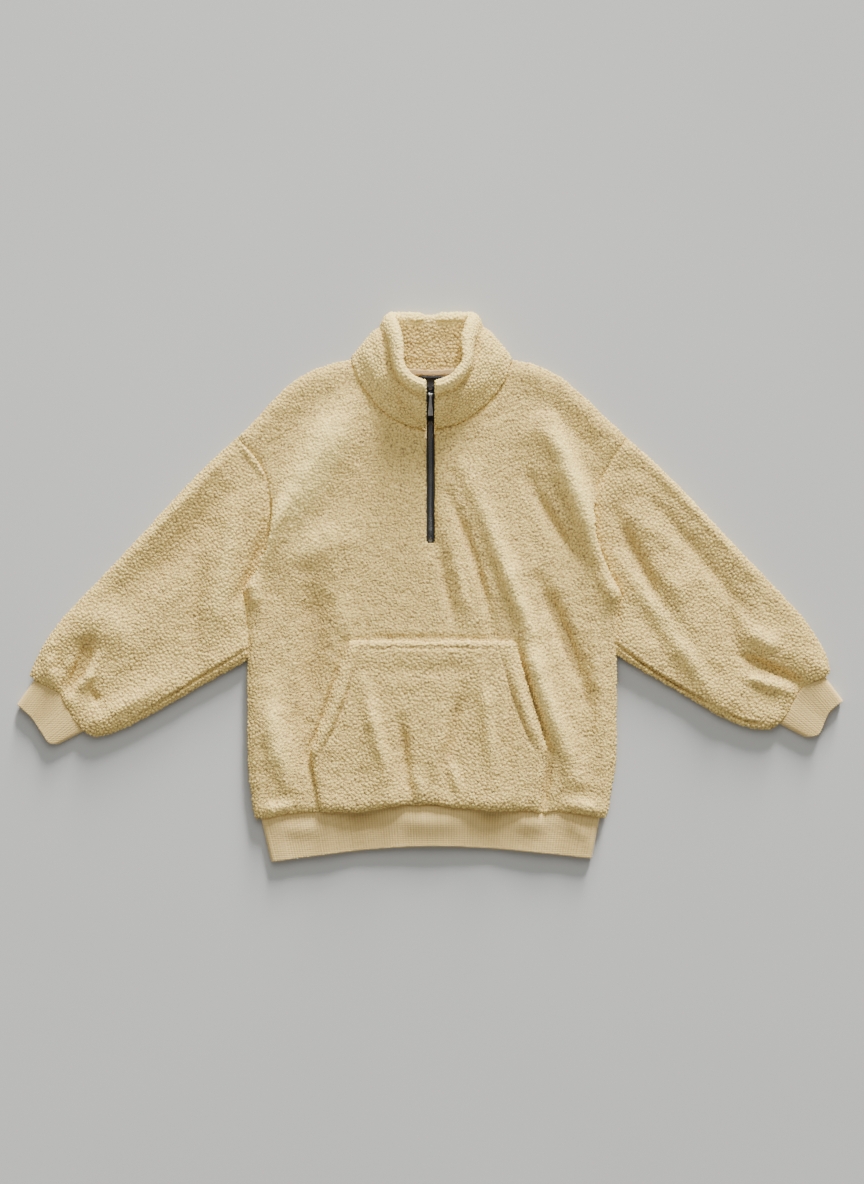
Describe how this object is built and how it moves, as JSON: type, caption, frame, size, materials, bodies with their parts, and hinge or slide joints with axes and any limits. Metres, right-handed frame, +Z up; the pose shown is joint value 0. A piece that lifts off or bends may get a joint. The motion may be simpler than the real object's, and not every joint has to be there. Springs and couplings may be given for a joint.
{
  "type": "sherpa fleece pullover",
  "caption": "Oversized sherpa fleece pullover laid flat, with a stand collar, half zip, kangaroo pocket and ribbed hem and cuffs.",
  "frame": {"origin": "middle of the garment's footprint, on the surface it lies on", "axes": "+X along the spread sleeves, to the right as seen from above; +Y from the hem to the collar; +Z up from the surface"},
  "size_m": [1.2, 0.7948, 0.0676],
  "materials": {
    "sherpa": "matt curled pile",
    "rib": "matt rib knit",
    "zip_cloth": "woven tape",
    "neck_tape": "twill tape",
    "zip_chain": "satin",
    "slider": "gloss black",
    "pull": "gunmetal",
    "pull_tip": "matt"
  },
  "bodies": {
    "garment": {"front": "sherpa", "back": "sherpa", "sleeve_left": "sherpa", "sleeve_right": "sherpa", "collar": "sherpa", "pocket": "sherpa", "hem_rib": "rib", "cuff_left": "rib", "cuff_right": "rib", "zip_tape_left": "zip_cloth", "zip_tape_right": "zip_cloth", "zip_chain": "zip_chain", "zip_stop": "pull", "zip_slider": "slider", "neck_tape": "neck_tape", "label": "zip_cloth"},
    "pull_tab": {"zip_pull": "pull", "zip_pull_tip": "pull_tip"}
  },
  "joints": [
    {"name": "pull_hinge", "type": "hinge", "parent": "garment", "child": "pull_tab", "pos_m": [0.0005, 0.27683, 0.06216], "axis": [-1, 0, 0], "range_deg": [0, 130]}
  ]
}
